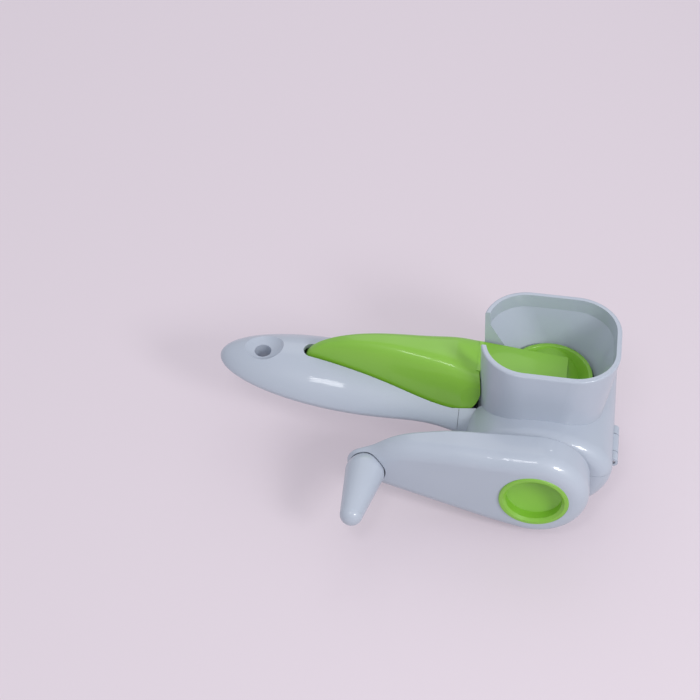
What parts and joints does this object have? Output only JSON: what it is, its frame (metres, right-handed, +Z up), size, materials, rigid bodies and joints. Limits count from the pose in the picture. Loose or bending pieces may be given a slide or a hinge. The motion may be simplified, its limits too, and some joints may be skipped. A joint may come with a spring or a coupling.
{
  "type": "rotary cheese grater",
  "caption": "Hand-held rotary cheese grater: hopper over a crank-turned grating drum, press lever along the handle, hinged lid.",
  "frame": {"origin": "middle of the moulded foot under the drum, below the drum's axis", "axes": "+X from the handle towards the nose, +Y along the drum's axis away from the crank, +Z up through the hopper"},
  "size_m": [0.1913, 0.1202, 0.0763],
  "materials": {
    "white_plastic": "gloss",
    "green_plastic": "gloss",
    "axle_plastic": "matte",
    "steel": "brushed"
  },
  "bodies": {
    "body": {"body_lower_shell": "white_plastic", "handle_top_shell": "white_plastic", "handle_screws": "steel", "lever_pivot_pin": "steel", "lid_hinge_pin": "steel"},
    "lid": {"hopper_lid": "white_plastic"},
    "lever": {"press_lever_shell": "green_plastic", "press_pad": "green_plastic"},
    "crank": {"grating_drum": "steel", "drum_rear_ring": "green_plastic", "drum_front_hub": "green_plastic", "crank_hub_cup": "green_plastic", "crank_shell": "white_plastic", "crank_back_cover": "white_plastic", "knob_axle": "axle_plastic"},
    "knob": {"crank_knob": "white_plastic"}
  },
  "joints": [
    {"name": "lid_hinge", "type": "hinge", "parent": "body", "child": "lid", "pos_m": [0.034, -0.019, 0.029], "axis": [0, 1, 0], "range_deg": [0, 125]},
    {"name": "lever_pivot", "type": "hinge", "parent": "body", "child": "lever", "pos_m": [-0.105, 0, 0.0455], "axis": [0, -1, 0], "range_deg": [0, 55]},
    {"name": "drum_spin", "type": "hinge", "parent": "body", "child": "crank", "pos_m": [0, 0, 0.029], "axis": [0, 1, 0], "continuous": true},
    {"name": "knob_spin", "type": "hinge", "parent": "crank", "child": "knob", "pos_m": [-0.077, -0.0535, 0.029], "axis": [0.0872, 0.9962, 0], "continuous": true}
  ]
}
